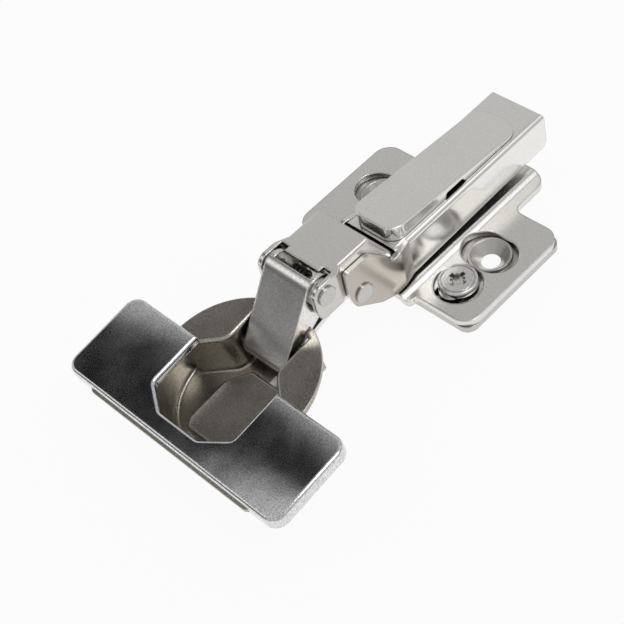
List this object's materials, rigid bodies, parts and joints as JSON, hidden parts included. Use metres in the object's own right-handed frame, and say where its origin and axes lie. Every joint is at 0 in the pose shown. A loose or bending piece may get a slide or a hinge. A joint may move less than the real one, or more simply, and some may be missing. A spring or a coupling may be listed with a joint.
{
  "type": "concealed cup hinge",
  "caption": "Clip-on concealed cabinet hinge, shown open: cup with screw cover, two-link folding knuckle, cranked channel arm with a cap, and a winged mounting plate with height cam.",
  "frame": {"origin": "middle of the line between the two mounting plate screw holes, on the face that lies on the cabinet side", "axes": "+Z away from the cabinet side, +X toward the door, +Y toward the wing with the height cam screw"},
  "size_m": [0.1106, 0.064, 0.0277],
  "materials": {
    "plate_nickel": "satin nickel plate",
    "arm_nickel": "satin nickel plate",
    "cap_nickel": "satin nickel plate",
    "cover_nickel": "bright nickel plate",
    "cup_nickel": "nickel plate",
    "screw_steel": "bright zinc plate",
    "pin_steel": "bright nickel plate",
    "spring_steel": "spring wire",
    "damper_plastic": "matte",
    "piston_plastic": "satin"
  },
  "bodies": {
    "base": {"base_plate": "plate_nickel"},
    "height_screw": {"height_cam": "screw_steel"},
    "plate": {"wing_plate": "plate_nickel", "clip_carrier": "plate_nickel", "hook_pin": "pin_steel", "latch_pin": "pin_steel", "latch_spring": "spring_steel"},
    "latch": {"clip_latch": "plate_nickel"},
    "pivot": {"arm_pivot_pin": "pin_steel"},
    "side_adjuster": {"side_screw": "screw_steel"},
    "arm": {"arm_channel": "arm_nickel", "arm_head": "arm_nickel", "arm_cap": "cap_nickel", "outer_arm_pin": "pin_steel", "inner_arm_pin": "pin_steel", "link_washers": "arm_nickel", "closing_spring": "spring_steel"},
    "depth_screw": {"depth_cam": "screw_steel"},
    "front_link": {"outer_link": "arm_nickel"},
    "rear_link": {"inner_link": "arm_nickel"},
    "cup": {"cup_shell": "cup_nickel", "cup_cover": "cover_nickel", "outer_cup_pin": "pin_steel", "inner_cup_pin": "pin_steel", "damper_housing": "damper_plastic"},
    "piston": {"damper_piston": "piston_plastic"}
  },
  "joints": [
    {"name": "height_slide", "type": "slide", "parent": "base", "child": "plate", "axis": [0, 1, 0], "range_m": [-0.0017, 0.0017]},
    {"name": "height_turn", "type": "hinge", "parent": "base", "child": "height_screw", "pos_m": [0.0107, 0.0164, 0.003], "axis": [0, 0, 1], "range_deg": [-58.3, 58.3]},
    {"name": "latch_press", "type": "hinge", "parent": "plate", "child": "latch", "pos_m": [-0.0225, 0, 0.0104], "axis": [0, -1, 0], "range_deg": [-14, 0], "stiffness_Nm_per_rad": 0.02, "springref_deg": 11.46},
    {"name": "depth_slide", "type": "slide", "parent": "plate", "child": "pivot", "axis": [1, 0, 0], "range_m": [-0.0017, 0.0017]},
    {"name": "side_turn", "type": "hinge", "parent": "pivot", "child": "side_adjuster", "pos_m": [0.005, 0, 0.013], "axis": [0, 0, 1], "range_deg": [-111.84, 222.67]},
    {"name": "side_tilt", "type": "hinge", "parent": "pivot", "child": "arm", "pos_m": [-0.0146, 0, 0.01055], "axis": [0, -1, 0], "range_deg": [-0.9, 1.8]},
    {"name": "depth_turn", "type": "hinge", "parent": "arm", "child": "depth_screw", "pos_m": [-0.0095, 0, 0.0144], "axis": [0, 0, 1], "range_deg": [-58.3, 58.3]},
    {"name": "front_link_turn", "type": "hinge", "parent": "arm", "child": "front_link", "pos_m": [0.0385, 0, 0.021], "axis": [0, 1, 0], "range_deg": [-2.5, 30.3]},
    {"name": "door_fold", "type": "hinge", "parent": "front_link", "child": "cup", "pos_m": [0.05052, 0, 0.00751], "axis": [0, -1, 0], "range_deg": [-10.49, 127.4]},
    {"name": "rear_link_turn", "type": "hinge", "parent": "cup", "child": "rear_link", "pos_m": [0.04679, 0, 0.00838], "axis": [0, 1, 0], "range_deg": [-11.1, 133.4]},
    {"name": "damper_press", "type": "slide", "parent": "cup", "child": "piston", "axis": [0.9921, 0, -0.1253], "range_m": [0, 0.0022], "stiffness_N_per_m": 60, "springref_m": -0.001}
  ],
  "couplings": [
    {"joint": "height_turn", "follows": "height_slide", "rad_per_m": 597.52},
    {"joint": "depth_turn", "follows": "depth_slide", "rad_per_m": 597.52},
    {"joint": "side_turn", "follows": "side_tilt", "ratio": 123.15},
    {"joint": "front_link_turn", "follows": "door_fold", "ratio": 0.23705},
    {"joint": "rear_link_turn", "follows": "door_fold", "ratio": 1.0453}
  ]
}
